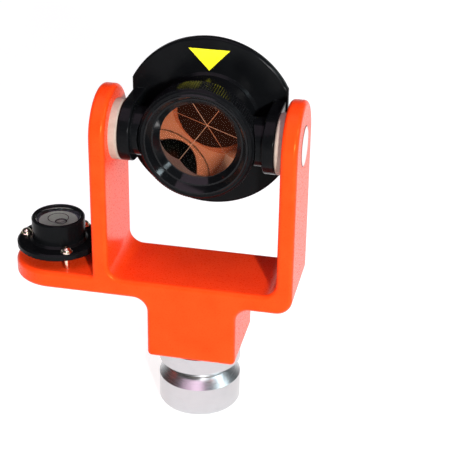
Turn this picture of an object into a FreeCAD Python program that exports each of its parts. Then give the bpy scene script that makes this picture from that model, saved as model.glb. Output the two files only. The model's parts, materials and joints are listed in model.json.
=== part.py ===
import FreeCAD, Part
import math
import os

from FreeCAD import Vector

# Tilting mini prism in a cast U yoke, with a circular vial and a swivelling threaded base knob.
# Millimetres. The origin is the centre of the knob's underside, +Z runs up the swivel axis,
# the prism looks along -Y and tilts about an axis parallel to X.

# Yoke casting
PIVOT_Z = 100.0
YOKE_WIDTH = 68.0
YOKE_DEPTH = 29.5
ARM_THICKNESS = 5.5
BASE_TOP_Z = 51.3
BASE_BOTTOM_Z = 45.0
SOCKET_WIDTH = 30.4
SOCKET_BOTTOM_Z = 23.0
INNER_CORNER_RADIUS = 5.0
OUTER_CORNER_RADIUS = 5.5
SOCKET_CORNER_RADIUS = 1.6
LUG_CORNER_RADIUS = 0.8
CAST_EDGE_RADIUS = 1.5
VIAL_X = -50.0

# Pivots, one in each arm; distances along X are measured outwards from the middle of the yoke
WEB_OUTER_X = 30.4
BUSH_HOLE_RADIUS = 4.6
BUSH_BORE_RADIUS = 3.05
BUSH_FLANGE_RADIUS = 10.1
CAP_RADIUS = 6.85
CAP_THICKNESS = 1.3
CAP_PROUD = 0.15
SCREW_SHOULDER_RADIUS = 3.0
SCREW_THREAD_RADIUS = 2.4
SCREW_HEAD_RADIUS = 5.2
SCREW_HEAD_THICKNESS = 1.5
SCREW_TIP_X = 20.6
HEX_SOCKET_FLATS = 3.0
WAVE_WASHER_THICKNESS = 0.4
WAVE_WASHER_RADIUS = 5.0
EAR_INNER_X = 21.6
EAR_OUTER_X = 25.7
EAR_RADIUS = 10.1
EAR_EDGE_RADIUS = 0.6
STUB_RADIUS = 8.0
THRUST_GAP = 0.05

# Prism head; distances along Y are measured from the pivot axis, negative towards the front
PLATE_RADIUS = 29.5
PLATE_HALF_WIDTH = 26.2
PLATE_FRONT_Y = 11.9
PLATE_BACK_Y = 14.8
PLATE_EDGE_RADIUS = 0.9
NECK_RADIUS = 16.9
NECK_FRONT_Y = 0.4
NECK_BORE_RADIUS = 15.5
NECK_ROOT_CHAMFER = 0.8
MARK_TOP_Z = 25.55
MARK_TIP_Z = 18.3
MARK_HALF_WIDTH = 6.85
MARK_THICKNESS = 0.2

KNURL_RADIUS = 19.2
KNURL_DEPTH = 0.32
KNURL_ROOM = 0.35
KNURL_COUNT = 144
KNURL_FRONT_Y = -7.2
RING_BACK_Y = 0.1
RING_FRONT_Y = -7.8
RING_FRONT_RADIUS = 18.5
TUBE_RADIUS = 15.4
TUBE_BORE_RADIUS = 13.5
TUBE_BACK_Y = 18.6
BEZEL_RADIUS = 17.4
BEZEL_MOUTH_RADIUS = 16.6
BEZEL_FRONT_Y = -8.2
BEZEL_STEP_Y = -5.9
BEZEL_STEP_RADIUS = 14.6
BEZEL_BACK_Y = -3.9
APERTURE_RADIUS = 12.85
GASKET_THICKNESS = 0.5

GLASS_RADIUS = 13.3
GLASS_FRONT_Y = -3.3
GLASS_RIM_LENGTH = 1.5
GLASS_ROLL_DEG = -7.0
CRADLE_FRONT_Y = 9.0
CRADLE_BACK_Y = 16.4
CRADLE_GAP = 0.25
REAR_CAP_RADIUS = 15.2
REAR_CAP_BACK_Y = 20.8
REAR_CAP_SPIGOT_Y = 16.8
SEAL_CENTRE_RADIUS = 16.15
SEAL_SECTION_RADIUS = 0.5
SEAL_CENTRE_Y = -0.18

# Swivel base
KNOB_RADIUS = 14.2
KNOB_RIM_Z = 10.9
GROOVE_ROOT_RADIUS = 11.1
GROOVE_ROOT_Z = 14.0
COLLAR_RIM_Z = 17.1
KNOB_FOOT_CHAMFER = 1.4
POLE_THREAD_RADIUS = 3.4
POLE_THREAD_LENGTH = 8.4
SPIGOT_RADIUS = 7.95
SPIGOT_BOTTOM_Z = 8.7
SPIGOT_BORE_RADIUS = 8.0
SWIVEL_GAP = 0.3
SNAP_RING_Z = 10.5
SNAP_RING_THICKNESS = 0.9
SNAP_RING_INNER = 7.4
SNAP_RING_OUTER = 8.6
STUD_RADIUS = 5.9
STUD_HOLE_RADIUS = 6.0
STUD_TOP_Z = 36.0

# Circular vial on the yoke's lug
FLANGE_RADIUS = 14.3
FLANGE_BOTTOM_Z = 55.0
FLANGE_TOP_Z = 57.4
CUP_RADIUS = 9.1
CUP_TOP_Z = 65.6
CUP_BORE_RADIUS = 7.85
CUP_FLOOR_Z = 57.0
VIAL_RADIUS = 7.75
VIAL_BOTTOM_Z = 60.9
VIAL_TOP_Z = 64.9
CHAMBER_RADIUS = 6.7
CHAMBER_BOTTOM_Z = 61.9
CHAMBER_TOP_Z = 64.1
BACKING_THICKNESS = 0.4
CIRCLE_MARK_RADIUS = 3.5
CIRCLE_MARK_WIDTH = 0.3
BUBBLE_RADIUS = 2.1
BUBBLE_THICKNESS = 1.1
BUBBLE_OFFSET = (1.7, -2.1)
VIAL_SCREW_CIRCLE = 11.8
VIAL_SCREW_ANGLES_DEG = (180.0, 60.0, -60.0)
VIAL_SCREW_RADIUS = 0.9
VIAL_SCREW_TIP_Z = 46.5
VIAL_SCREW_HEAD_RADIUS = 1.75
VIAL_SCREW_HEAD_HEIGHT = 1.9
VIAL_SCREW_RIM_RADIUS = 2.1
VIAL_SCREW_RIM_HEIGHT = 0.5
CUSHION_INNER = 3.0
CUSHION_OUTER = 7.0

X_AXIS = Vector(1, 0, 0)
Y_AXIS = Vector(0, 1, 0)
Z_AXIS = Vector(0, 0, 1)
PIVOT = Vector(0, 0, PIVOT_Z)
HALF_WIDTH = YOKE_WIDTH / 2
HALF_DEPTH = YOKE_DEPTH / 2
ARM_INNER_X = HALF_WIDTH - ARM_THICKNESS
FULL_TURN = 360
NEAR = 1e-3


def turned(profile, origin, along, outward):
    """Solid of revolution about the line through origin; the profile lists (radius, distance along)."""
    points = [origin + outward * radius + along * distance for radius, distance in profile]
    points.append(points[0])
    face = Part.Face(Part.makePolygon(points))
    return face.revolve(origin, along, FULL_TURN)


def turned_upright(profile, x=0.0, y=0.0):
    return turned(profile, Vector(x, y, 0), Z_AXIS, X_AXIS)


def turned_on_prism_axis(profile):
    return turned(profile, PIVOT, Y_AXIS, X_AXIS)


def turned_on_pivot(profile, side):
    return turned(profile, PIVOT, X_AXIS * side, Y_AXIS)


def ring(inner, outer, low, high):
    """Rectangular section, as (radius, distance) points, for the turned functions."""
    return [(inner, low), (outer, low), (outer, high), (inner, high)]


def block(low, high):
    size = [high[i] - low[i] for i in range(3)]
    return Part.makeBox(size[0], size[1], size[2], Vector(*low))


def upright_cylinder(radius, x, y, low, high):
    return Part.makeCylinder(radius, high - low, Vector(x, y, low), Z_AXIS)


def prism_axis_cylinder(radius, low, high):
    return Part.makeCylinder(radius, high - low, PIVOT + Y_AXIS * low, Y_AXIS)


def pivot_cylinder(radius, start, end, side):
    """Cylinder on the pivot axis, from start to end measured outwards on one side."""
    return Part.makeCylinder(radius, end - start, PIVOT + X_AXIS * side * start, X_AXIS * side)


def edges_where(shape, test):
    return [edge for edge in shape.Edges if test(edge)]


def runs_along_y_at(places):
    """Test for straight edges parallel to Y that pass through one of the given (x, z) places."""
    def test(edge):
        first = edge.Vertexes[0].Point
        last = edge.Vertexes[-1].Point
        if abs(first.x - last.x) > NEAR or abs(first.z - last.z) > NEAR:
            return False
        return any(abs(first.x - x) < NEAR and abs(first.z - z) < NEAR for x, z in places)
    return test


def middle_of(edge):
    return edge.valueAt((edge.FirstParameter + edge.LastParameter) / 2)


# ---- Yoke

def yoke_outline():
    """Front view of the casting: arms, base, lug and socket block."""
    arm_top = PIVOT_Z + HALF_DEPTH
    lug_end = VIAL_X - HALF_DEPTH
    socket = SOCKET_WIDTH / 2
    corners = [
        (lug_end, BASE_BOTTOM_Z), (-socket, BASE_BOTTOM_Z),
        (-socket, SOCKET_BOTTOM_Z), (socket, SOCKET_BOTTOM_Z),
        (socket, BASE_BOTTOM_Z), (HALF_WIDTH, BASE_BOTTOM_Z),
        (HALF_WIDTH, arm_top), (ARM_INNER_X, arm_top),
        (ARM_INNER_X, BASE_TOP_Z), (-ARM_INNER_X, BASE_TOP_Z),
        (-ARM_INNER_X, arm_top), (-HALF_WIDTH, arm_top),
        (-HALF_WIDTH, BASE_TOP_Z), (lug_end, BASE_TOP_Z),
    ]
    points = [Vector(x, -HALF_DEPTH, z) for x, z in corners]
    points.append(points[0])
    return Part.Face(Part.makePolygon(points))


def is_smooth_seam(point):
    """Where a rounded arm top or the lug's round end begins; nothing to round off there."""
    over_arm = abs(point.z - PIVOT_Z) < NEAR and ARM_INNER_X < abs(point.x) < HALF_WIDTH
    on_lug = abs(point.x - VIAL_X) < NEAR and BASE_BOTTOM_Z < point.z < BASE_TOP_Z
    return over_arm or on_lug


def is_cast_outline(edge):
    """Edges round the casting's front and back, over the arm tops and round the lug's end."""
    middle = middle_of(edge)
    if is_smooth_seam(middle):
        return False
    on_arm_side = min(abs(abs(middle.x) - HALF_WIDTH), abs(abs(middle.x) - ARM_INNER_X)) < NEAR
    over_arm_top = on_arm_side and middle.z > PIVOT_Z + NEAR
    on_lug_face = min(abs(middle.z - BASE_TOP_Z), abs(middle.z - BASE_BOTTOM_Z)) < NEAR
    round_lug_end = on_lug_face and middle.x < VIAL_X - NEAR
    return abs(abs(middle.y) - HALF_DEPTH) < NEAR or over_arm_top or round_lug_end


def yoke_casting():
    socket = SOCKET_WIDTH / 2
    body = yoke_outline().extrude(Vector(0, YOKE_DEPTH, 0))
    corner_groups = (
        (INNER_CORNER_RADIUS, [(ARM_INNER_X, BASE_TOP_Z), (-ARM_INNER_X, BASE_TOP_Z),
                               (socket, BASE_BOTTOM_Z), (-socket, BASE_BOTTOM_Z)]),
        (OUTER_CORNER_RADIUS, [(HALF_WIDTH, BASE_BOTTOM_Z)]),
        (SOCKET_CORNER_RADIUS, [(socket, SOCKET_BOTTOM_Z), (-socket, SOCKET_BOTTOM_Z)]),
        (LUG_CORNER_RADIUS, [(-HALF_WIDTH, BASE_TOP_Z)]),
    )
    for radius, places in corner_groups:
        body = body.makeFillet(radius, edges_where(body, runs_along_y_at(places)))
    reach = 2 * YOKE_WIDTH
    below_pivot = block((-reach, -HALF_DEPTH, 0), (reach, HALF_DEPTH, PIVOT_Z))
    arm_tops = Part.makeCylinder(HALF_DEPTH, 2 * reach, Vector(-reach, 0, PIVOT_Z), X_AXIS)
    body = body.common(below_pivot.fuse(arm_tops))
    inboard = block((VIAL_X, -HALF_DEPTH, 0), (reach, HALF_DEPTH, reach))
    lug_end = upright_cylinder(HALF_DEPTH, VIAL_X, 0, 0, reach)
    body = body.common(inboard.fuse(lug_end)).removeSplitter()
    body = body.makeFillet(CAST_EDGE_RADIUS, edges_where(body, is_cast_outline))
    return body


def vial_screw_places():
    angles = [math.radians(angle) for angle in VIAL_SCREW_ANGLES_DEG]
    return [(VIAL_X + VIAL_SCREW_CIRCLE * math.cos(a), VIAL_SCREW_CIRCLE * math.sin(a)) for a in angles]


def yoke_frame():
    body = yoke_casting()
    for side in (-1, 1):
        body = body.cut(pivot_cylinder(BUSH_HOLE_RADIUS, 0, HALF_WIDTH, side))
        body = body.cut(pivot_cylinder(CAP_RADIUS, WEB_OUTER_X, YOKE_WIDTH, side))
    for x, y in vial_screw_places():
        body = body.cut(upright_cylinder(VIAL_SCREW_RADIUS, x, y, VIAL_SCREW_TIP_Z, PIVOT_Z))
    return body.cut(upright_cylinder(STUD_HOLE_RADIUS, 0, 0, 0, STUD_TOP_Z + 1))


# ---- Pivots

def pivot_bush(side):
    """Flanged nylon bush: the flange is the pale thrust ring between arm and boss."""
    flange_end = ARM_INNER_X
    profile = [
        (BUSH_BORE_RADIUS, EAR_OUTER_X + THRUST_GAP),
        (BUSH_FLANGE_RADIUS - 0.4, EAR_OUTER_X + THRUST_GAP),
        (BUSH_FLANGE_RADIUS, EAR_OUTER_X + THRUST_GAP + 0.4),
        (BUSH_FLANGE_RADIUS, flange_end),
        (BUSH_HOLE_RADIUS, flange_end),
        (BUSH_HOLE_RADIUS, WEB_OUTER_X),
        (BUSH_BORE_RADIUS, WEB_OUTER_X),
    ]
    return turned_on_pivot(profile, side)


def pivot_screw(side):
    head_start = WEB_OUTER_X + WAVE_WASHER_THICKNESS + 2 * THRUST_GAP
    head_end = head_start + SCREW_HEAD_THICKNESS
    profile = [
        (0, SCREW_TIP_X), (SCREW_THREAD_RADIUS - 0.4, SCREW_TIP_X),
        (SCREW_THREAD_RADIUS, SCREW_TIP_X + 0.4), (SCREW_THREAD_RADIUS, EAR_OUTER_X),
        (SCREW_SHOULDER_RADIUS, EAR_OUTER_X), (SCREW_SHOULDER_RADIUS, head_start),
        (SCREW_HEAD_RADIUS, head_start), (SCREW_HEAD_RADIUS, head_end - 0.2),
        (SCREW_HEAD_RADIUS - 0.2, head_end), (0, head_end),
    ]
    screw = turned_on_pivot(profile, side)
    corner = HEX_SOCKET_FLATS / math.sqrt(3)
    turns = [math.radians(60 * i) for i in range(7)]
    hexagon = [Vector(side * (head_end - 1.0), corner * math.cos(a), PIVOT_Z + corner * math.sin(a))
               for a in turns]
    socket = Part.Face(Part.makePolygon(hexagon)).extrude(Vector(side * 2, 0, 0))
    return screw.cut(socket)


def wave_washer(side):
    start = WEB_OUTER_X + THRUST_GAP
    section = ring(BUSH_BORE_RADIUS, WAVE_WASHER_RADIUS, start, start + WAVE_WASHER_THICKNESS)
    return turned_on_pivot(section, side)


def pivot_cap(side):
    outer = HALF_WIDTH + CAP_PROUD
    profile = [
        (0, outer - CAP_THICKNESS), (CAP_RADIUS, outer - CAP_THICKNESS),
        (CAP_RADIUS, outer - 0.35), (CAP_RADIUS - 0.35, outer), (0, outer),
    ]
    return turned_on_pivot(profile, side)


# ---- Prism head

def target_plate():
    disc = prism_axis_cylinder(PLATE_RADIUS, PLATE_FRONT_Y, PLATE_BACK_Y)
    low = (-PLATE_HALF_WIDTH, PLATE_FRONT_Y, 0)
    high = (PLATE_HALF_WIDTH, PLATE_BACK_Y, 2 * PIVOT_Z)
    plate = disc.common(block(low, high))
    on_faces = edges_where(plate, lambda edge: abs(edge.BoundBox.YLength) < NEAR)
    return plate.makeFillet(PLATE_EDGE_RADIUS, on_faces)


def pivot_ear(side):
    """U-shaped ear that stands forward from the target plate and carries one pivot."""
    back = PLATE_FRONT_Y + PLATE_EDGE_RADIUS
    faces = sorted((side * EAR_INNER_X, side * EAR_OUTER_X))
    slab = block((faces[0], 0, PIVOT_Z - EAR_RADIUS), (faces[1], back, PIVOT_Z + EAR_RADIUS))
    ear = slab.fuse(pivot_cylinder(EAR_RADIUS, EAR_INNER_X, EAR_OUTER_X, side)).removeSplitter()
    outline = edges_where(ear, lambda edge: edge.BoundBox.XLength < NEAR and middle_of(edge).y < back - NEAR)
    return ear.makeFillet(EAR_EDGE_RADIUS, outline)


def prism_holder():
    neck_root_y = PLATE_FRONT_Y - NECK_ROOT_CHAMFER
    neck_root_radius = NECK_RADIUS + NECK_ROOT_CHAMFER
    neck = turned_on_prism_axis([
        (0, NECK_FRONT_Y), (NECK_RADIUS - 0.3, NECK_FRONT_Y), (NECK_RADIUS, NECK_FRONT_Y + 0.3),
        (NECK_RADIUS, neck_root_y), (neck_root_radius, PLATE_FRONT_Y), (neck_root_radius, PLATE_BACK_Y),
        (0, PLATE_BACK_Y),
    ])
    stubs = [pivot_cylinder(STUB_RADIUS, 0, EAR_OUTER_X, side) for side in (-1, 1)]
    ears = [pivot_ear(side) for side in (-1, 1)]
    body = target_plate().fuse([neck] + stubs + ears)
    body = body.cut(prism_axis_cylinder(NECK_BORE_RADIUS, -PLATE_RADIUS, PLATE_RADIUS))
    body = body.cut(prism_axis_cylinder(KNURL_RADIUS + KNURL_ROOM, -PLATE_RADIUS, NECK_FRONT_Y))
    for side in (-1, 1):
        body = body.cut(pivot_cylinder(SCREW_THREAD_RADIUS, SCREW_TIP_X - 0.5, YOKE_WIDTH, side))
    return body.removeSplitter()


def target_mark():
    """Flat triangle, point down, on the front of the target plate."""
    front = PLATE_FRONT_Y - MARK_THICKNESS
    corners = [(-MARK_HALF_WIDTH, MARK_TOP_Z), (MARK_HALF_WIDTH, MARK_TOP_Z), (0, MARK_TIP_Z)]
    points = [Vector(x, front, PIVOT_Z + z) for x, z in corners]
    points.append(points[0])
    return Part.Face(Part.makePolygon(points)).extrude(Vector(0, MARK_THICKNESS, 0))


def knurled_blank():
    points = []
    for i in range(2 * KNURL_COUNT + 1):
        angle = math.pi * i / KNURL_COUNT
        radius = KNURL_RADIUS - KNURL_DEPTH * (i % 2)
        points.append(Vector(radius * math.cos(angle), KNURL_FRONT_Y, PIVOT_Z + radius * math.sin(angle)))
    star = Part.Face(Part.makePolygon(points)).extrude(Vector(0, RING_BACK_Y - KNURL_FRONT_Y, 0))
    edge = 0.3
    limit = turned_on_prism_axis([
        (0, KNURL_FRONT_Y), (KNURL_RADIUS - edge, KNURL_FRONT_Y), (KNURL_RADIUS, KNURL_FRONT_Y + edge),
        (KNURL_RADIUS, RING_BACK_Y - edge), (KNURL_RADIUS - edge, RING_BACK_Y), (0, RING_BACK_Y),
    ])
    return star.common(limit)


def prism_canister():
    """Tube that screws into the neck, with the knurled grip ring at its front."""
    nose = turned_on_prism_axis([
        (0, RING_FRONT_Y), (RING_FRONT_RADIUS - 0.3, RING_FRONT_Y), (RING_FRONT_RADIUS, RING_FRONT_Y + 0.3),
        (KNURL_RADIUS - KNURL_DEPTH, KNURL_FRONT_Y), (0, KNURL_FRONT_Y),
    ])
    tube = prism_axis_cylinder(TUBE_RADIUS, RING_BACK_Y, TUBE_BACK_Y)
    body = knurled_blank().fuse([nose, tube])
    body = body.cut(prism_axis_cylinder(TUBE_BORE_RADIUS, -PLATE_RADIUS, PLATE_RADIUS))
    body = body.cut(prism_axis_cylinder(BEZEL_RADIUS, -PLATE_RADIUS, BEZEL_BACK_Y))
    seal_reach = SEAL_SECTION_RADIUS + 0.05
    seal_seat = ring(SEAL_CENTRE_RADIUS - seal_reach, SEAL_CENTRE_RADIUS + seal_reach,
                     SEAL_CENTRE_Y - seal_reach, NECK_FRONT_Y)
    return body.cut(turned_on_prism_axis(seal_seat)).removeSplitter()


def canister_seal():
    return Part.makeTorus(SEAL_CENTRE_RADIUS, SEAL_SECTION_RADIUS, PIVOT + Y_AXIS * SEAL_CENTRE_Y, Y_AXIS)


def front_bezel():
    """Screwed-in ring with a two-step cone down to the glass."""
    profile = [
        (BEZEL_RADIUS, BEZEL_BACK_Y), (BEZEL_RADIUS, BEZEL_FRONT_Y + 0.3),
        (BEZEL_RADIUS - 0.3, BEZEL_FRONT_Y), (BEZEL_MOUTH_RADIUS, BEZEL_FRONT_Y),
        (BEZEL_STEP_RADIUS + 0.5, BEZEL_STEP_Y), (BEZEL_STEP_RADIUS, BEZEL_STEP_Y),
        (APERTURE_RADIUS, BEZEL_BACK_Y),
    ]
    return turned_on_prism_axis(profile)


def glass_gasket():
    outer = TUBE_BORE_RADIUS - 0.05
    return turned_on_prism_axis(
        ring(APERTURE_RADIUS, outer, BEZEL_BACK_Y + 0.02, BEZEL_BACK_Y + GASKET_THICKNESS))


def glass_apex_y():
    """The three back faces meet here; each leans 35.26 degrees from the axis."""
    return GLASS_FRONT_Y + GLASS_RIM_LENGTH + GLASS_RADIUS * math.sqrt(2)


def prism_glass():
    """Cube corner ground round: three square faces meeting at the apex, and a flat front."""
    side = 6 * GLASS_RADIUS
    cube = Part.makeBox(side, side, side)
    diagonal = Vector(1, 1, 1)
    cube.rotate(Vector(0, 0, 0), diagonal.cross(-Y_AXIS), math.degrees(diagonal.getAngle(-Y_AXIS)))
    cube.rotate(Vector(0, 0, 0), Y_AXIS, glass_roll_deg(cube))
    cube.translate(PIVOT + Y_AXIS * glass_apex_y())
    return cube.common(prism_axis_cylinder(GLASS_RADIUS, GLASS_FRONT_Y, PLATE_RADIUS))


def glass_roll_deg(cube):
    """Turn that brings one edge from the apex to GLASS_ROLL_DEG above the +X direction."""
    for edge in cube.Edges:
        ends = [vertex.Point for vertex in edge.Vertexes]
        if min(ends[0].Length, ends[1].Length) < NEAR:
            far = max(ends, key=lambda point: point.Length)
            present = math.degrees(math.atan2(far.z, far.x))
            return present - GLASS_ROLL_DEG
    return 0.0


def prism_cradle():
    """Moulded cone that holds the three back edges of the glass."""
    slope = math.sqrt(2)
    apex = glass_apex_y() + CRADLE_GAP
    outer = TUBE_BORE_RADIUS - 0.05
    profile = [
        ((apex - CRADLE_FRONT_Y) * slope, CRADLE_FRONT_Y), (outer, CRADLE_FRONT_Y), (outer, CRADLE_BACK_Y),
        ((apex - CRADLE_BACK_Y) * slope, CRADLE_BACK_Y),
    ]
    return turned_on_prism_axis(profile)


def rear_cap():
    spigot = TUBE_BORE_RADIUS - 0.05
    hollow = spigot - 1.6
    profile = [
        (0, TUBE_BACK_Y), (hollow, TUBE_BACK_Y), (hollow, REAR_CAP_SPIGOT_Y), (spigot, REAR_CAP_SPIGOT_Y),
        (spigot, TUBE_BACK_Y), (REAR_CAP_RADIUS, TUBE_BACK_Y), (REAR_CAP_RADIUS, REAR_CAP_BACK_Y - 0.6),
        (REAR_CAP_RADIUS - 0.6, REAR_CAP_BACK_Y), (0, REAR_CAP_BACK_Y),
    ]
    cap = turned_on_prism_axis(profile)
    slot = block((-REAR_CAP_RADIUS - 1, REAR_CAP_BACK_Y - 1, PIVOT_Z - 0.8),
                 (REAR_CAP_RADIUS + 1, REAR_CAP_BACK_Y + 1, PIVOT_Z + 0.8))
    return cap.cut(slot)


# ---- Swivel base

def swivel_collar():
    """Fixed upper half of the spool: disc, spigot below it and threaded stud above it."""
    half_gap = SWIVEL_GAP / 2
    ring_low = SNAP_RING_Z - 0.1
    ring_high = SNAP_RING_Z + SNAP_RING_THICKNESS + 0.1
    groove_radius = SNAP_RING_INNER - 0.1
    profile = [
        (0, SPIGOT_BOTTOM_Z), (SPIGOT_RADIUS, SPIGOT_BOTTOM_Z), (SPIGOT_RADIUS, ring_low),
        (groove_radius, ring_low), (groove_radius, ring_high), (SPIGOT_RADIUS, ring_high),
        (SPIGOT_RADIUS, GROOVE_ROOT_Z + half_gap),
        (GROOVE_ROOT_RADIUS, GROOVE_ROOT_Z + half_gap), (KNOB_RADIUS - 0.15, COLLAR_RIM_Z),
        (KNOB_RADIUS, COLLAR_RIM_Z + 0.15), (KNOB_RADIUS, SOCKET_BOTTOM_Z), (STUD_RADIUS, SOCKET_BOTTOM_Z),
        (STUD_RADIUS, STUD_TOP_Z - 0.8), (STUD_RADIUS - 0.8, STUD_TOP_Z), (0, STUD_TOP_Z),
    ]
    return turned_upright(profile)


def base_knob():
    """Lower half of the spool, free to turn on the spigot; the pole screws into its underside."""
    half_gap = SWIVEL_GAP / 2
    chamfer = KNOB_FOOT_CHAMFER
    ring_low = SNAP_RING_Z - 0.1
    ring_high = SNAP_RING_Z + SNAP_RING_THICKNESS + 0.1
    groove_radius = SNAP_RING_OUTER + 0.1
    profile = [
        (POLE_THREAD_RADIUS, 0), (KNOB_RADIUS - chamfer, 0), (KNOB_RADIUS - 0.4, 0.5 * chamfer),
        (KNOB_RADIUS, chamfer), (KNOB_RADIUS, KNOB_RIM_Z - 0.15), (KNOB_RADIUS - 0.15, KNOB_RIM_Z),
        (GROOVE_ROOT_RADIUS, GROOVE_ROOT_Z - half_gap), (SPIGOT_BORE_RADIUS, GROOVE_ROOT_Z - half_gap),
        (SPIGOT_BORE_RADIUS, ring_high), (groove_radius, ring_high), (groove_radius, ring_low),
        (SPIGOT_BORE_RADIUS, ring_low), (SPIGOT_BORE_RADIUS, POLE_THREAD_LENGTH),
        (POLE_THREAD_RADIUS, POLE_THREAD_LENGTH),
    ]
    return turned_upright(profile)


def swivel_snap_ring():
    section = ring(SNAP_RING_INNER, SNAP_RING_OUTER, SNAP_RING_Z, SNAP_RING_Z + SNAP_RING_THICKNESS)
    opening = block((0, -1.5, 0), (KNOB_RADIUS, 1.5, PIVOT_Z))
    return turned_upright(section).cut(opening)


def swivel_washer():
    low = GROOVE_ROOT_Z - SWIVEL_GAP / 2 + 0.02
    high = GROOVE_ROOT_Z + SWIVEL_GAP / 2 - 0.02
    return turned_upright(ring(SPIGOT_BORE_RADIUS + 0.3, GROOVE_ROOT_RADIUS - 0.6, low, high))


# ---- Circular vial

def vial_housing():
    foot_fillet = 0.7
    profile = [
        (CUSHION_INNER, FLANGE_BOTTOM_Z), (FLANGE_RADIUS - 0.5, FLANGE_BOTTOM_Z),
        (FLANGE_RADIUS, FLANGE_BOTTOM_Z + 0.5), (FLANGE_RADIUS, FLANGE_TOP_Z - 0.5),
        (FLANGE_RADIUS - 0.5, FLANGE_TOP_Z), (CUP_RADIUS + 0.1 + foot_fillet, FLANGE_TOP_Z),
        (CUP_RADIUS + 0.1, FLANGE_TOP_Z + foot_fillet), (CUP_RADIUS, CUP_TOP_Z - 0.5),
        (CUP_RADIUS - 0.4, CUP_TOP_Z), (CUP_BORE_RADIUS + 0.25, CUP_TOP_Z),
        (CUP_BORE_RADIUS, CUP_TOP_Z - 0.25), (CUP_BORE_RADIUS, CUP_FLOOR_Z), (CUSHION_INNER, CUP_FLOOR_Z),
    ]
    housing = turned_upright(profile, VIAL_X)
    for x, y in vial_screw_places():
        hole = upright_cylinder(VIAL_SCREW_RADIUS + 0.15, x, y, 0, PIVOT_Z)
        housing = housing.cut(hole)
    return housing


def vial_bed():
    """Set compound under the vial."""
    return turned_upright(ring(0, VIAL_RADIUS, CUP_FLOOR_Z, VIAL_BOTTOM_Z), VIAL_X)


def vial_glass():
    body = turned_upright([
        (0, VIAL_BOTTOM_Z), (VIAL_RADIUS, VIAL_BOTTOM_Z), (VIAL_RADIUS, VIAL_TOP_Z - 0.2),
        (VIAL_RADIUS - 0.2, VIAL_TOP_Z), (0, VIAL_TOP_Z),
    ], VIAL_X)
    return body.cut(upright_cylinder(CHAMBER_RADIUS, VIAL_X, 0, CHAMBER_BOTTOM_Z, CHAMBER_TOP_Z))


def vial_backing():
    top = CHAMBER_BOTTOM_Z + BACKING_THICKNESS
    return turned_upright(ring(0, CHAMBER_RADIUS - 0.1, CHAMBER_BOTTOM_Z, top), VIAL_X)


def vial_circle_mark():
    half = CIRCLE_MARK_WIDTH / 2
    section = ring(CIRCLE_MARK_RADIUS - half, CIRCLE_MARK_RADIUS + half, CHAMBER_TOP_Z - 0.08, CHAMBER_TOP_Z)
    return turned_upright(section, VIAL_X)


def vial_bubble():
    x = VIAL_X + BUBBLE_OFFSET[0]
    top = CHAMBER_TOP_Z - 0.15
    sphere_radius = (BUBBLE_RADIUS ** 2 + BUBBLE_THICKNESS ** 2) / (2 * BUBBLE_THICKNESS)
    centre = Vector(x, BUBBLE_OFFSET[1], top - BUBBLE_THICKNESS + sphere_radius)
    sphere = Part.makeSphere(sphere_radius, centre)
    return sphere.common(upright_cylinder(2 * BUBBLE_RADIUS, x, BUBBLE_OFFSET[1], CHAMBER_BOTTOM_Z, top))


def vial_cushion():
    """Rubber ring that pushes the housing up against the three adjusting screws."""
    section = ring(CUSHION_INNER + 0.5, CUSHION_OUTER, BASE_TOP_Z, FLANGE_BOTTOM_Z)
    return turned_upright(section, VIAL_X)


def vial_screw(x, y):
    """Slotted round-head adjusting screw with a flanged rim under the head."""
    rim_high = FLANGE_TOP_Z + VIAL_SCREW_RIM_HEIGHT
    head_high = FLANGE_TOP_Z + VIAL_SCREW_HEAD_HEIGHT
    head_radius = VIAL_SCREW_HEAD_RADIUS
    rim_radius = VIAL_SCREW_RIM_RADIUS
    shoulder = rim_high + 0.25
    shank = turned_upright([
        (0, VIAL_SCREW_TIP_Z), (VIAL_SCREW_RADIUS, VIAL_SCREW_TIP_Z), (VIAL_SCREW_RADIUS, FLANGE_TOP_Z),
        (rim_radius, FLANGE_TOP_Z), (rim_radius, rim_high - 0.2), (rim_radius - 0.2, rim_high),
        (head_radius - 0.25, rim_high), (head_radius - 0.25, shoulder), (0, shoulder),
    ], x, y)
    rise = head_high - shoulder
    sphere_radius = (head_radius ** 2 + rise ** 2) / (2 * rise)
    dome = Part.makeSphere(sphere_radius, Vector(x, y, head_high - sphere_radius))
    dome = dome.common(upright_cylinder(head_radius, x, y, shoulder, head_high))
    slot = block((x - 0.2, y - head_radius, head_high - 0.5), (x + 0.2, y + head_radius, head_high + 1))
    return shank.fuse(dome).cut(slot).removeSplitter()


def vial_screws():
    return Part.makeCompound([vial_screw(x, y) for x, y in vial_screw_places()])


def all_nodes():
    nodes = {
        "yoke_frame": yoke_frame(),
        "prism_holder": prism_holder(),
        "target_mark": target_mark(),
        "prism_canister": prism_canister(),
        "canister_seal": canister_seal(),
        "front_bezel": front_bezel(),
        "glass_gasket": glass_gasket(),
        "prism_glass": prism_glass(),
        "prism_cradle": prism_cradle(),
        "rear_cap": rear_cap(),
        "swivel_collar": swivel_collar(),
        "base_knob": base_knob(),
        "swivel_snap_ring": swivel_snap_ring(),
        "swivel_washer": swivel_washer(),
        "vial_housing": vial_housing(),
        "vial_bed": vial_bed(),
        "vial_glass": vial_glass(),
        "vial_backing": vial_backing(),
        "vial_circle_mark": vial_circle_mark(),
        "vial_bubble": vial_bubble(),
        "vial_cushion": vial_cushion(),
        "vial_screws": vial_screws(),
    }
    for name, side in (("left", -1), ("right", 1)):
        nodes["pivot_bush_" + name] = pivot_bush(side)
        nodes["pivot_screw_" + name] = pivot_screw(side)
        nodes["wave_washer_" + name] = wave_washer(side)
        nodes["pivot_cap_" + name] = pivot_cap(side)
    return nodes


os.makedirs("parts", exist_ok=True)
for node_name, node_shape in all_nodes().items():
    node_shape.exportStep("parts/" + node_name + ".step")
    print(node_name, "valid" if node_shape.isValid() else "INVALID", round(node_shape.Volume, 2))
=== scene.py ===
import json
import math

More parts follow.
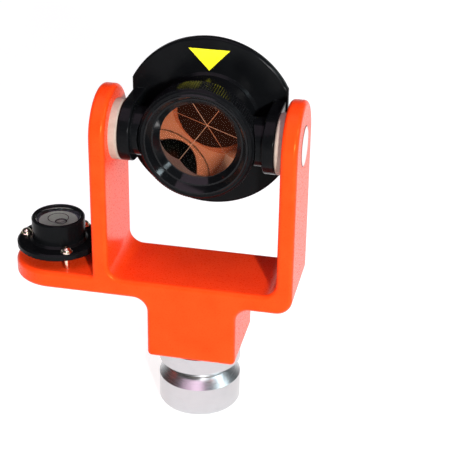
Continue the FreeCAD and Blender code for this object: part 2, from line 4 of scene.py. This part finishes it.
import bmesh
import bpy
from mathutils import Matrix, Vector


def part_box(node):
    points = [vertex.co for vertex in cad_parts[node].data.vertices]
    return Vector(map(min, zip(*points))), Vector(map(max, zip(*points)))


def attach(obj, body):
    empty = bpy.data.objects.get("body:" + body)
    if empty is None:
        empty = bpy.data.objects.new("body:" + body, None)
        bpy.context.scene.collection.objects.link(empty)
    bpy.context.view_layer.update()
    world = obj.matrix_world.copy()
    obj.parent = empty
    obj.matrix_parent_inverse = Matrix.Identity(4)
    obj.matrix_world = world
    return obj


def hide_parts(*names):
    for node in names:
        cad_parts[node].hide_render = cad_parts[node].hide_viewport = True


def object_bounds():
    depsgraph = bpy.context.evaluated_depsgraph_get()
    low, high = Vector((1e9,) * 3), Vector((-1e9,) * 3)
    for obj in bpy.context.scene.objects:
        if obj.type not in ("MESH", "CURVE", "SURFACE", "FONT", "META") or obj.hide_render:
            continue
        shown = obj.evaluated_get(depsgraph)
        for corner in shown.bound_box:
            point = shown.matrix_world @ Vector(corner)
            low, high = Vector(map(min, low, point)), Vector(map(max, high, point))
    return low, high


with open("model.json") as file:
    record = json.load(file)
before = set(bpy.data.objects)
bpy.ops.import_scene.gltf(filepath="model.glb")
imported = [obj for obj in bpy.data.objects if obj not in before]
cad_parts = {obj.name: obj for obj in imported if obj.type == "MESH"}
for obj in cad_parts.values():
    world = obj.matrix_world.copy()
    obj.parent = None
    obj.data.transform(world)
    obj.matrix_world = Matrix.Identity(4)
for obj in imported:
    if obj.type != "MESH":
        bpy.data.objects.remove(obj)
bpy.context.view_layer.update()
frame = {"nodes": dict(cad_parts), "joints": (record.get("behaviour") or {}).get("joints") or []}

# A tilting survey prism: an orange yoke on a turned swivel base, a black head that holds a copper-backed
# corner cube, and a level vial. Metres; the head looks along -Y at rest, and +Z is up.

MM = 0.001

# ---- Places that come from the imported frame

TILT_JOINT = next(joint for joint in frame["joints"] if joint["name"] == "head_tilt")
PIVOT = Vector(TILT_JOINT["pos_m"])

# ---- Camera, light and floor

VIEW_AZIMUTH_DEG = 11.72
VIEW_ELEVATION_DEG = 26.95
VIEW_ROLL_DEG = 0.78
VIEW_DISTANCE = 0.4505
VIEW_TARGET = PIVOT + Vector((8.37, 0, -31.3)) * MM
LENS_MM = 108.1
SENSOR_MM = 36.0

WALL_FADE_START_DEG = 4.0
WALL_FADE_END_DEG = 19.0
WALL_BRIGHTNESS = 0.6
ROOM_BRIGHTNESS = 0.03
WALL_COLOUR = (0.97, 0.98, 1.0, 1)

FLOOR_WIDTH = 30
FLOOR_TONE = 0.3
FLOOR_GLOW = 0.88


def direction(azimuth_deg, elevation_deg):
    """Unit vector from the object towards a place; azimuth 0 is straight in front, 90 to the right."""
    azimuth = math.radians(azimuth_deg)
    elevation = math.radians(elevation_deg)
    level = math.cos(elevation)
    return Vector((math.sin(azimuth) * level, -math.cos(azimuth) * level, math.sin(elevation)))


def facing(back, roll_deg=0.0):
    """Rotation whose +Z is back and whose +Y points up, turned by the roll about back."""
    roll = math.radians(roll_deg)
    right = Vector((0, 0, 1)).cross(back).normalized()
    up = back.cross(right)
    turned_right = right * math.cos(roll) + up * math.sin(roll)
    turned_up = up * math.cos(roll) - right * math.sin(roll)
    return Matrix((turned_right, turned_up, back)).transposed().to_4x4()


def add_camera():
    data = bpy.data.cameras.new("view")
    data.lens = LENS_MM
    data.sensor_width = SENSOR_MM
    data.clip_start = 0.01
    data.clip_end = 50
    camera = bpy.data.objects.new("view", data)
    bpy.context.scene.collection.objects.link(camera)
    back = direction(VIEW_AZIMUTH_DEG, VIEW_ELEVATION_DEG)
    stand = Matrix.Translation(VIEW_TARGET + back * VIEW_DISTANCE)
    camera.matrix_world = stand @ facing(back, VIEW_ROLL_DEG)
    bpy.context.scene.camera = camera


def add_softbox(name, azimuth_deg, elevation_deg, distance, width, height, watts, colour=(1, 1, 1)):
    """A rectangular lamp that faces the tilt axis from a distance in metres."""
    data = bpy.data.lights.new(name, "AREA")
    data.shape = "RECTANGLE"
    data.size = width
    data.size_y = height
    data.energy = watts
    data.color = colour
    light = bpy.data.objects.new(name, data)
    bpy.context.scene.collection.objects.link(light)
    back = direction(azimuth_deg, elevation_deg)
    light.matrix_world = Matrix.Translation(PIVOT + back * distance) @ facing(back)


def add_surroundings():
    """Pale walls low down that fade to a dark room above, so glossy tops and the prism stay dark."""
    world = bpy.data.worlds.new("studio")
    bpy.context.scene.world = world
    world.use_nodes = True
    tree = world.node_tree
    towards = tree.nodes.new("ShaderNodeTexCoord")
    parts = tree.nodes.new("ShaderNodeSeparateXYZ")
    fade = tree.nodes.new("ShaderNodeMapRange")
    fade.inputs["From Min"].default_value = math.sin(math.radians(WALL_FADE_START_DEG))
    fade.inputs["From Max"].default_value = math.sin(math.radians(WALL_FADE_END_DEG))
    fade.inputs["To Min"].default_value = WALL_BRIGHTNESS
    fade.inputs["To Max"].default_value = ROOM_BRIGHTNESS
    tree.links.new(towards.outputs["Generated"], parts.inputs[0])
    tree.links.new(parts.outputs["Z"], fade.inputs["Value"])
    tree.links.new(fade.outputs[0], tree.nodes["Background"].inputs["Strength"])
    tree.nodes["Background"].inputs["Color"].default_value = WALL_COLOUR


def add_studio():
    """A small lamp right of the camera, a broad pinkish one above, a cool one at the side, and walls."""
    bpy.context.scene.view_settings.view_transform = "Standard"
    add_surroundings()
    add_softbox(
        "key_lamp", azimuth_deg=26, elevation_deg=16, distance=1.1,
        width=0.06, height=0.08, watts=16.5)
    add_softbox(
        "top_light", azimuth_deg=-20, elevation_deg=75, distance=1.3,
        width=1.2, height=1.2, watts=9.8, colour=(1.0, 0.72, 0.92))
    add_softbox(
        "side_lamp", azimuth_deg=79, elevation_deg=33, distance=1.1,
        width=0.42, height=0.15, watts=4.5, colour=(0.78, 0.94, 1.0))


def add_floor():
    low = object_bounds()[0]
    bpy.ops.mesh.primitive_plane_add(size=FLOOR_WIDTH, location=(0, 0, low.z))
    floor = bpy.context.object
    floor.name = "floor"
    floor.data.materials.append(floor_finish())


# ---- Materials

# Blender's noise seldom leaves this range
NOISE_LOW = 0.3
NOISE_HIGH = 0.7

# Where in the noise the faint marks on a polish begin, and where they are at their roughest
MARKS_START = 0.55
MARKS_END = 0.8

# How far an edge turns its rounded normal, as 1 - cosine, where wear starts to show and where it is complete
EDGE_TURN_START = 0.02
EDGE_TURN_END = 0.25
BEVEL_SAMPLES = 6

# How much a plain matt surface's roughness goes up and down
MATT_VARIATION = 0.06

GLASS_IOR = 1.52
SPIRIT_IOR = 1.46

# How far in from a pivot cap's rim the painted shade starts, and where it is complete
PAINTED_SHADE_START = 0.75 * MM
PAINTED_SHADE_END = 0.3 * MM

# Where the bubble's painted dark ring starts and is complete, as shares of its radius
BUBBLE_PAINTED_RING_START = 0.72
BUBBLE_PAINTED_RING_END = 0.9

# The prism's ground side has painted light: its colour is painted pale and its painted glow strong towards
# one side, and both are dark and dim away from it. The change from dim to bright starts and ends at two
# places across the prism, given as shares of its radius
PAINTED_LIGHT_SIDE = (0.9, 0, 0.45)
PAINTED_LIGHT_START = -0.12
PAINTED_LIGHT_END = 0.42
DIM_PAINTED_GLOW = 0.02
BRIGHT_PAINTED_GLOW = 0.42


class Finish:
    """A material with one Principled surface, and short calls for the patterns that feed it.

    Values that end in _mm are millimetres, and every other length is in metres. The fixed values are
    Principled inputs, with underscores for spaces.
    """

    def __init__(self, name, colour, **fixed):
        self.material = bpy.data.materials.new(name)
        self.material.use_nodes = True
        self.tree = self.material.node_tree
        self.surface = self.tree.nodes["Principled BSDF"]
        self.surface.inputs["Base Color"].default_value = (*colour, 1)
        for words, value in fixed.items():
            label = words.replace("_", " ").title().replace("Ior", "IOR")
            self.surface.inputs[label].default_value = value
        self.place = self.node("ShaderNodeTexCoord").outputs["Object"]

    def node(self, kind, feeds=None, **settings):
        """Adds a node; feeds maps an input's name or number to a value or to another node's output."""
        made = self.tree.nodes.new(kind)
        for name, value in settings.items():
            setattr(made, name, value)
        for key, value in (feeds or {}).items():
            if isinstance(value, bpy.types.NodeSocket):
                self.tree.links.new(value, made.inputs[key])
            else:
                made.inputs[key].default_value = value
        return made

    def noise(self, size_mm, detail=4.0, stretch=(1, 1, 1), roughness=0.55):
        """Soft noise whose features are about size_mm across."""
        scaled = self.node("ShaderNodeMapping", {"Vector": self.place, "Scale": stretch}).outputs[0]
        feeds = {"Vector": scaled, "Scale": 1 / (size_mm * MM), "Detail": detail, "Roughness": roughness}
        return self.node("ShaderNodeTexNoise", feeds).outputs[0]

    def spread(self, value, low, high, to_low=0.0, to_high=1.0):
        """Maps low..high to to_low..to_high, and holds it there beyond."""
        feeds = {"Value": value, "From Min": low, "From Max": high, "To Min": to_low, "To Max": to_high}
        return self.node("ShaderNodeMapRange", feeds).outputs[0]

    def clouds(self, noise, to_low=0.0, to_high=1.0):
        """Noise pulled out until it fills to_low..to_high."""
        return self.spread(noise, NOISE_LOW, NOISE_HIGH, to_low, to_high)

    def product(self, first, second):
        return self.node("ShaderNodeMath", {0: first, 1: second}, operation="MULTIPLY").outputs[0]

    def vector_maths(self, operation, first, second, result="Vector"):
        made = self.node("ShaderNodeVectorMath", {0: first, 1: second}, operation=operation)
        return made.outputs[result]

    def blend(self, share, first, second):
        """A colour that goes from first to second as share goes from 0 to 1."""
        feeds = {"Factor": share, 6: first, 7: second}
        return self.node("ShaderNodeMix", feeds, data_type="RGBA").outputs[2]

    def distance_from_line(self, point, across):
        """Metres from a line through point; across is 1 on the two axes square to the line, 0 along it."""
        offset = self.vector_maths("SUBTRACT", self.place, point)
        flat = self.vector_maths("MULTIPLY", offset, across)
        return self.node("ShaderNodeVectorMath", {0: flat}, operation="LENGTH").outputs["Value"]

    def edges(self, radius_mm):
        """Nearly 1 on edges that are sharper than radius_mm, 0 on plain faces."""
        rounded = self.node("ShaderNodeBevel", {"Radius": radius_mm * MM}, samples=BEVEL_SAMPLES).outputs[0]
        plain = self.node("ShaderNodeNewGeometry").outputs["Normal"]
        likeness = self.vector_maths("DOT_PRODUCT", rounded, plain, "Value")
        return self.spread(likeness, 1 - EDGE_TURN_START, 1 - EDGE_TURN_END)

    def set_colour(self, socket):
        self.tree.links.new(socket, self.surface.inputs["Base Color"])

    def set_roughness(self, socket):
        self.tree.links.new(socket, self.surface.inputs["Roughness"])

    def set_bump(self, height, depth_mm, strength=1.0):
        feeds = {"Height": height, "Distance": depth_mm * MM, "Strength": strength}
        self.tree.links.new(self.node("ShaderNodeBump", feeds).outputs[0], self.surface.inputs["Normal"])

    def mottle_colour(self, size_mm, dark, light):
        """A cloudy colour between dark and light."""
        self.set_colour(self.blend(self.clouds(self.noise(size_mm)), dark, light))

    def mottle_roughness(self, size_mm, low, high):
        """A cloudy roughness between low and high."""
        self.set_roughness(self.clouds(self.noise(size_mm), low, high))

    def polish(self, size_mm, roughest):
        """A full polish with a few faint marks."""
        marks = self.spread(self.noise(size_mm), MARKS_START, MARKS_END, 0.0, roughest)
        self.set_roughness(marks)


def floor_finish():
    """A plain white floor that shines evenly, so that only soft shadows show on it."""
    finish = Finish("studio_floor", (FLOOR_TONE, FLOOR_TONE, FLOOR_TONE), specular_ior_level=0.0)
    finish.surface.inputs["Emission Color"].default_value = (1, 1, 1, 1)
    finish.surface.inputs["Emission Strength"].default_value = FLOOR_GLOW
    finish.mottle_roughness(40, 0.85, 0.95)
    return finish.material


def powder_coat():
    """Half-gloss orange-red powder coat: fine orange peel, slight cloudiness, lighter where it is worn."""
    tint = (1, 0.4, 0.08, 1)
    finish = Finish("orange_powder_coat", (0.89, 0.05, 0.006), specular_ior_level=0.3, specular_tint=tint)
    cloudy = finish.clouds(finish.noise(6.0, detail=3.0))
    cast = finish.blend(cloudy, (0.87, 0.045, 0.005, 1), (0.91, 0.054, 0.007, 1))
    worn = finish.product(finish.edges(0.5), finish.spread(finish.noise(0.8), 0.35, 0.7))
    finish.set_colour(finish.blend(finish.product(worn, 0.3), cast, (0.97, 0.11, 0.03, 1)))
    finish.set_roughness(finish.clouds(finish.noise(0.55, detail=2.0), 0.268, 0.292))
    finish.set_bump(finish.noise(0.8, detail=2.0), 0.03)
    return finish.material


def black_gloss(name="black_gloss", gloss=0.055, smooth=0.13):
    """Black anodised and lacquered aluminium, slightly dusty, and rubbed a little lighter along its edges."""
    finish = Finish(name, (0.004, 0.004, 0.005), specular_ior_level=gloss)
    pale = (0.2, 0.21, 0.22, 1)
    dust = finish.spread(finish.noise(0.35, detail=6.0), 0.62, 0.8)
    cloudy = finish.clouds(finish.noise(9.0))
    tone = finish.blend(cloudy, (0.0024, 0.0027, 0.0031, 1), (0.0042, 0.0047, 0.0052, 1))
    dusty = finish.blend(finish.product(dust, 0.05), tone, pale)
    rubbed = finish.product(finish.edges(0.25), finish.spread(finish.noise(0.6), 0.4, 0.65))
    finish.set_colour(finish.blend(finish.product(rubbed, 0.16), dusty, pale))
    finish.mottle_roughness(2.2, smooth, 2 * smooth)
    finish.set_bump(finish.noise(0.3), 0.004)
    return finish.material


def black_plastic():
    """Moulded plastic with a fine grain."""
    finish = Finish("black_plastic", (0.02, 0.02, 0.021), specular_ior_level=0.4)
    finish.mottle_colour(5.0, (0.014, 0.014, 0.015, 1), (0.026, 0.026, 0.027, 1))
    finish.mottle_roughness(0.8, 0.38, 0.52)
    finish.set_bump(finish.noise(0.18, detail=2.0), 0.012)
    return finish.material


def black_rubber():
    """Dull rubber for the seals and the vial's cushion."""
    finish = Finish("black_rubber", (0.016, 0.016, 0.016), specular_ior_level=0.3)
    finish.mottle_colour(2.0, (0.012, 0.012, 0.012, 1), (0.028, 0.028, 0.027, 1))
    finish.mottle_roughness(0.6, 0.6, 0.8)
    finish.set_bump(finish.noise(0.12), 0.01)
    return finish.material


def turned_aluminium():
    """Aluminium with the lathe's fine rings round the swivel axis."""
    finish = Finish("turned_aluminium", (0.70, 0.70, 0.71), metallic=1.0, anisotropic=0.55)
    rings = finish.noise(30.0, detail=8.0, stretch=(0.02, 0.02, 300.0), roughness=0.7)
    tone = finish.blend(finish.clouds(rings), (0.54, 0.54, 0.55, 1), (0.63, 0.63, 0.64, 1))
    dull = finish.spread(finish.noise(3.5), 0.45, 0.75)
    finish.set_colour(finish.blend(finish.product(dull, 0.25), tone, (0.45, 0.46, 0.48, 1)))
    finish.set_roughness(finish.clouds(rings, 0.18, 0.34))
    finish.set_bump(rings, 0.006, 0.6)
    tangent = finish.node("ShaderNodeTangent", direction_type="RADIAL", axis="Z").outputs[0]
    finish.tree.links.new(tangent, finish.surface.inputs["Tangent"])
    return finish.material


def nylon():
    """The cream pivot bushes."""
    finish = Finish("nylon", (0.43, 0.33, 0.26), specular_ior_level=0.3)
    finish.mottle_colour(1.6, (0.33, 0.265, 0.215, 1), (0.39, 0.32, 0.26, 1))
    finish.mottle_roughness(0.7, 0.4, 0.55)
    finish.set_bump(finish.noise(0.25), 0.01)
    return finish.material


def white_plastic():
    """White moulded caps, with a dark line of painted shade round their rims, where they meet the arm."""
    finish = Finish("white_plastic", (0.7, 0.67, 0.65), specular_ior_level=0.3)
    cloudy = finish.clouds(finish.noise(3.0))
    tone = finish.blend(cloudy, (0.64, 0.61, 0.59, 1), (0.70, 0.67, 0.65, 1))
    low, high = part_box("pivot_cap_right")
    rim = (high.z - low.z) / 2
    from_axis = finish.distance_from_line(PIVOT, (0, 1, 1))
    # painted shade: the cap's colour turns dark reddish towards its rim, as in a shaded gap
    painted_rim_shade = finish.spread(from_axis, rim - PAINTED_SHADE_START, rim - PAINTED_SHADE_END)
    finish.set_colour(finish.blend(painted_rim_shade, tone, (0.22, 0.05, 0.03, 1)))
    finish.mottle_roughness(0.9, 0.3, 0.42)
    finish.set_bump(finish.noise(0.3), 0.008)
    return finish.material


def yellow_mark():
    """The bright paint of the target mark."""
    finish = Finish("yellow_mark", (0.85, 0.8, 0.01), specular_ior_level=0.4)
    finish.mottle_colour(1.4, (0.83, 0.78, 0.008, 1), (0.87, 0.84, 0.014, 1))
    finish.mottle_roughness(0.5, 0.35, 0.5)
    finish.set_bump(finish.noise(0.2), 0.008)
    return finish.material


def metal(name, dark, light, rough_low, rough_high, grain_mm=1.2):
    """Bare metal, cloudy in colour and polish."""
    finish = Finish(name, light[:3], metallic=1.0)
    finish.mottle_colour(grain_mm, dark, light)
    finish.mottle_roughness(grain_mm / 2, rough_low, rough_high)
    finish.set_bump(finish.noise(grain_mm / 5), 0.004)
    return finish.material


def plain_matt(name, dark, light, rough=0.6, grain_mm=1.0):
    """A dull, cloudy surface."""
    finish = Finish(name, light[:3])
    finish.mottle_colour(grain_mm, dark, light)
    finish.mottle_roughness(grain_mm, rough - MATT_VARIATION, rough + MATT_VARIATION)
    finish.set_bump(finish.noise(grain_mm / 4), 0.006)
    return finish.material


def clear(name, ior, gloss=1.0, roughest=0.03):
    """Clear glass or liquid, with faint marks on its polish; gloss scales its reflections."""
    tint = (gloss, gloss, gloss, 1)
    finish = Finish(name, (1, 1, 1), transmission_weight=1.0, ior=ior, specular_tint=tint)
    finish.polish(1.5, roughest)
    return finish.material


def air_bubble():
    """The vial's bubble, with a dark ring of painted shade round its rim where its curved edge would show
    dark.
    """
    finish = Finish("air_bubble", (1, 1, 1), transmission_weight=1.0, ior=1 / SPIRIT_IOR)
    low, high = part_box("vial_bubble")
    centre, radius = middle_and_radius(low, high)
    from_axis = finish.distance_from_line(centre, (1, 1, 0))
    # painted shade: the bubble's colour turns dark towards its rim
    rim = finish.spread(from_axis, BUBBLE_PAINTED_RING_START * radius, BUBBLE_PAINTED_RING_END * radius)
    finish.set_colour(finish.blend(rim, (1, 1, 1, 1), (0.05, 0.06, 0.07, 1)))
    finish.polish(1.0, 0.03)
    return finish.material


def copper_coat():
    """The reflecting coat behind the prism, seen through the glass."""
    return metal("copper_coat", (0.83, 0.51, 0.37, 1), (0.88, 0.54, 0.40, 1), 0.0, 0.006, grain_mm=4.0)


def frosted_copper():
    """The small ground flats along the prism's three back edges, under the same copper."""
    return plain_matt("frosted_copper", (0.50, 0.27, 0.16, 1), (0.60, 0.33, 0.20, 1), 0.7, grain_mm=0.4)


def ground_glass():
    """The prism's ground side, with painted light: a painted glow that is strongest at its right, and a
    colour painted dark away from that side.
    """
    finish = Finish("ground_glass", (0.5, 0.42, 0.36))
    low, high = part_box("prism_glass")
    centre, radius = middle_and_radius(low, high)
    outward = finish.vector_maths("SUBTRACT", finish.place, centre)
    side = finish.vector_maths("DOT_PRODUCT", outward, PAINTED_LIGHT_SIDE, "Value")
    painted_light_share = finish.spread(side, PAINTED_LIGHT_START * radius, PAINTED_LIGHT_END * radius)
    grain = finish.noise(0.6)
    pale = finish.blend(finish.clouds(grain), (0.50, 0.42, 0.36, 1), (0.58, 0.49, 0.42, 1))
    # painted light and shade: the side is painted dark away from the lit side and pale towards it
    finish.set_colour(finish.blend(painted_light_share, (0.16, 0.085, 0.06, 1), pale))
    finish.set_roughness(finish.clouds(grain, 0.7, 0.9))
    finish.set_bump(finish.noise(0.15), 0.006)
    # painted glow: the ground side gives off light though it is no lamp, most towards the lit side
    finish.surface.inputs["Emission Color"].default_value = (1.0, 0.84, 0.70, 1)
    painted_glow = finish.spread(painted_light_share, 0, 1, DIM_PAINTED_GLOW, BRIGHT_PAINTED_GLOW)
    finish.tree.links.new(painted_glow, finish.surface.inputs["Emission Strength"])
    return finish.material


def edge_shade():
    """The thin dark line round the prism's front edge."""
    return plain_matt("edge_shade", (0.010, 0.007, 0.006, 1), (0.018, 0.012, 0.010, 1), 0.7, grain_mm=0.6)


def finishes():
    """One material for each slot that the record names."""
    return {
        "orange_powder_coat": powder_coat(),
        "turned_aluminium": turned_aluminium(),
        "black_gloss": black_gloss(),
        "black_plastic": black_plastic(),
        "black_rubber": black_rubber(),
        "nylon": nylon(),
        "white_plastic": white_plastic(),
        "yellow_mark": yellow_mark(),
        "optical_glass": clear("optical_glass", GLASS_IOR, gloss=0.05, roughest=0.006),
        "clear_vial": clear("clear_vial", SPIRIT_IOR),
        "beige_backing": plain_matt("beige_backing", (0.48, 0.60, 0.51, 1), (0.58, 0.71, 0.61, 1)),
        "black_ink": plain_matt("black_ink", (0.012, 0.012, 0.012, 1), (0.02, 0.02, 0.02, 1)),
        "air_bubble": air_bubble(),
        "set_compound": plain_matt("set_compound", (0.055, 0.075, 0.09, 1), (0.075, 0.1, 0.12, 1), 0.7),
        "nickel_brass": metal("nickel_brass", (0.70, 0.62, 0.46, 1), (0.83, 0.77, 0.62, 1), 0.14, 0.26),
        "bright_steel": metal("bright_steel", (0.55, 0.55, 0.56, 1), (0.66, 0.66, 0.67, 1), 0.18, 0.3),
        "spring_steel": metal("spring_steel", (0.38, 0.38, 0.39, 1), (0.5, 0.5, 0.51, 1), 0.2, 0.32),
    }


def dress_nodes(made):
    """Gives each CAD node its slot's material, and the front bezel a glossier black of its own."""
    for node in frame["nodes"].values():
        for place in node.material_slots:
            place.material = made[place.material.name.split(".")[0]]
    bezel_slots = frame["nodes"]["front_bezel"].material_slots
    bezel_slots[0].material = black_gloss("bezel_gloss", gloss=0.16, smooth=0.06)


# ---- What both replaced pieces need

SHARP_ANGLE = math.radians(30)
WELD_DISTANCE = 1e-7
TOUCH_DISTANCE = 1e-6


def middle_and_radius(low, high):
    """The middle of a round form's box, and half of the box's width in X."""
    return (low + high) / 2, (high.x - low.x) / 2


def everything(form):
    return list(form.verts) + list(form.edges) + list(form.faces)


def add_piece(name, form, materials):
    """Makes an object of a bmesh, which is used up."""
    mesh = bpy.data.meshes.new(name)
    form.to_mesh(mesh)
    form.free()
    mesh.set_sharp_from_angle(angle=SHARP_ANGLE)
    for finish in materials:
        mesh.materials.append(finish)
    piece = bpy.data.objects.new(name, mesh)
    bpy.context.scene.collection.objects.link(piece)
    return piece


# ---- Corner-cube prism

GLASS_ROLL = math.radians(-7.0)
GLASS_SEGMENTS = 192
ROOF_BEVEL = 0.14 * MM
EDGE_SHADE = 0.25 * MM

# The prism's materials, in the order in which its mesh lists them
POLISHED, COATED, FROSTED, GROUND, SHADED = range(5)

# Cosines that tell the prism's faces apart: the flat front, those parallel to a mirror, those that lean back
FACES_FRONT = 0.9
PARALLEL = 0.999
LEANS_BACK = 0.3


def mirror_normals():
    """Outward normals of the three rear faces, which are square to each other."""
    along = math.sqrt(1 / 3)
    lean = math.sqrt(2 / 3)
    normals = []
    for turn in range(3):
        angle = GLASS_ROLL + math.radians(60 + 120 * turn)
        normals.append(Vector((lean * math.cos(angle), along, lean * math.sin(angle))))
    return normals


def prism_finish(face, normals, shade_end):
    """Which of the prism's materials a face has; the side is shaded in front of y = shade_end."""
    if face.normal.y < -FACES_FRONT:
        return POLISHED
    if any(face.normal.dot(normal) > PARALLEL for normal in normals):
        return COATED
    if face.normal.y > LEANS_BACK:
        return FROSTED
    if face.calc_center_median().y < shade_end:
        return SHADED
    return GROUND


def corner_cube(made):
    """A round prism with three square-on rear faces that meet at its apex, and small flats on their edges."""
    low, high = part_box("prism_glass")
    centre, radius = middle_and_radius(low, high)
    apex = Vector((centre.x, high.y, PIVOT.z))
    form = bmesh.new()
    bmesh.ops.create_cone(
        form, cap_ends=True, segments=GLASS_SEGMENTS, radius1=radius, radius2=radius, depth=high.y - low.y)
    stand = Matrix.Translation((centre.x, centre.y, PIVOT.z)) @ Matrix.Rotation(math.radians(90), 4, "X")
    bmesh.ops.transform(form, matrix=stand, verts=form.verts)
    normals = mirror_normals()
    for normal in normals:
        cut = bmesh.ops.bisect_plane(
            form, geom=everything(form), plane_co=apex, plane_no=normal, clear_outer=True)
        rim = [item for item in cut["geom_cut"] if isinstance(item, bmesh.types.BMEdge)]
        bmesh.ops.contextual_create(form, geom=rim)
    bmesh.ops.remove_doubles(form, verts=form.verts, dist=WELD_DISTANCE)
    roofs = [
        edge for edge in form.edges
        if any((vert.co - apex).length < TOUCH_DISTANCE for vert in edge.verts)
    ]
    bmesh.ops.bevel(form, geom=roofs, offset=ROOF_BEVEL, segments=1, affect="EDGES", profile=0.5)
    shade_end = Vector((centre.x, low.y + EDGE_SHADE, centre.z))
    bmesh.ops.bisect_plane(form, geom=everything(form), plane_co=shade_end, plane_no=(0, 1, 0))
    form.normal_update()
    for face in form.faces:
        face.material_index = prism_finish(face, normals, shade_end.y)
        face.smooth = face.material_index in (GROUND, SHADED)
    materials = (made["optical_glass"], copper_coat(), frosted_copper(), ground_glass(), edge_shade())
    piece = add_piece("corner_cube", form, materials)
    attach(piece, "prism")
    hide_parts("prism_glass")


# ---- Vial

VIAL_SIDE_GAP = 0.03 * MM
VIAL_FOOT_GAP = 0.02 * MM
VIAL_LIP = 0.25 * MM
VIAL_STEPS = 96


def turned_piece(name, profile, x, y, body, node, finish):
    """A turned form on an upright axis at x, y that stands for a CAD node; profile lists (radius, z)."""
    form = bmesh.new()
    points = [form.verts.new((x + radius, y, z)) for radius, z in profile]
    edges = [form.edges.new(pair) for pair in zip(points, points[1:])]
    bmesh.ops.spin(
        form, geom=points + edges, cent=(x, y, 0), axis=(0, 0, 1), angle=2 * math.pi, steps=VIAL_STEPS)
    bmesh.ops.remove_doubles(form, verts=form.verts, dist=TOUCH_DISTANCE)
    bmesh.ops.recalc_face_normals(form, faces=form.faces)
    for face in form.faces:
        face.smooth = True
    piece = add_piece(name, form, [finish])
    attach(piece, body)
    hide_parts(node)


def filled_vial(made):
    """Glass and spirit as one clear body, since both bend light alike; the bubble lies inside it."""
    low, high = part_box("vial_glass")
    centre, outer_radius = middle_and_radius(low, high)
    radius = outer_radius - VIAL_SIDE_GAP
    foot = low.z + VIAL_FOOT_GAP
    profile = [
        (0, foot),
        (radius, foot),
        (radius, high.z - VIAL_LIP),
        (radius - VIAL_LIP, high.z),
        (0, high.z),
    ]
    turned_piece(
        "filled_vial", profile, centre.x, centre.y, "yoke", "vial_glass", made["clear_vial"])


add_camera()
made = finishes()
dress_nodes(made)
corner_cube(made)
filled_vial(made)
add_studio()
add_floor()
